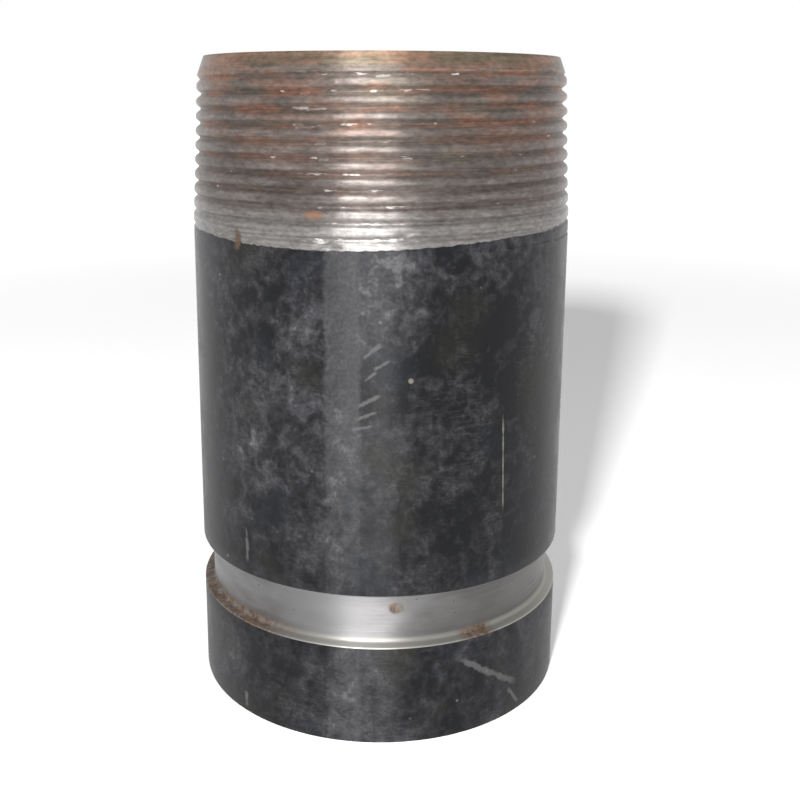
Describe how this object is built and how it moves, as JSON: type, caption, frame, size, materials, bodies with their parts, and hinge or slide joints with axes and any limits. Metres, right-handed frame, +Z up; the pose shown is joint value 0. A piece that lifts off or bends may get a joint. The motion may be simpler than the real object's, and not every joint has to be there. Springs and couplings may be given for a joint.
{
  "type": "pipe nipple",
  "caption": "Short steel pipe with an external taper thread at one end and a cut groove near the other, for joining threaded to grooved pipework.",
  "frame": {"origin": "centre of the grooved end's face, on the pipe's axis", "axes": "+Z up along the pipe's axis to the threaded end; +X and +Y across the pipe, with the first thread crest 1.9 mm below the face on the -Y side"},
  "size_m": [0.0604, 0.0604, 0.1016],
  "materials": {
    "black_steel": "thin black coating over carbon steel, satin and mottled; the thread and the groove are cut through it and left bare, with light rust"
  },
  "bodies": {
    "root": {"pipe_nipple": "black_steel"}
  },
  "joints": []
}
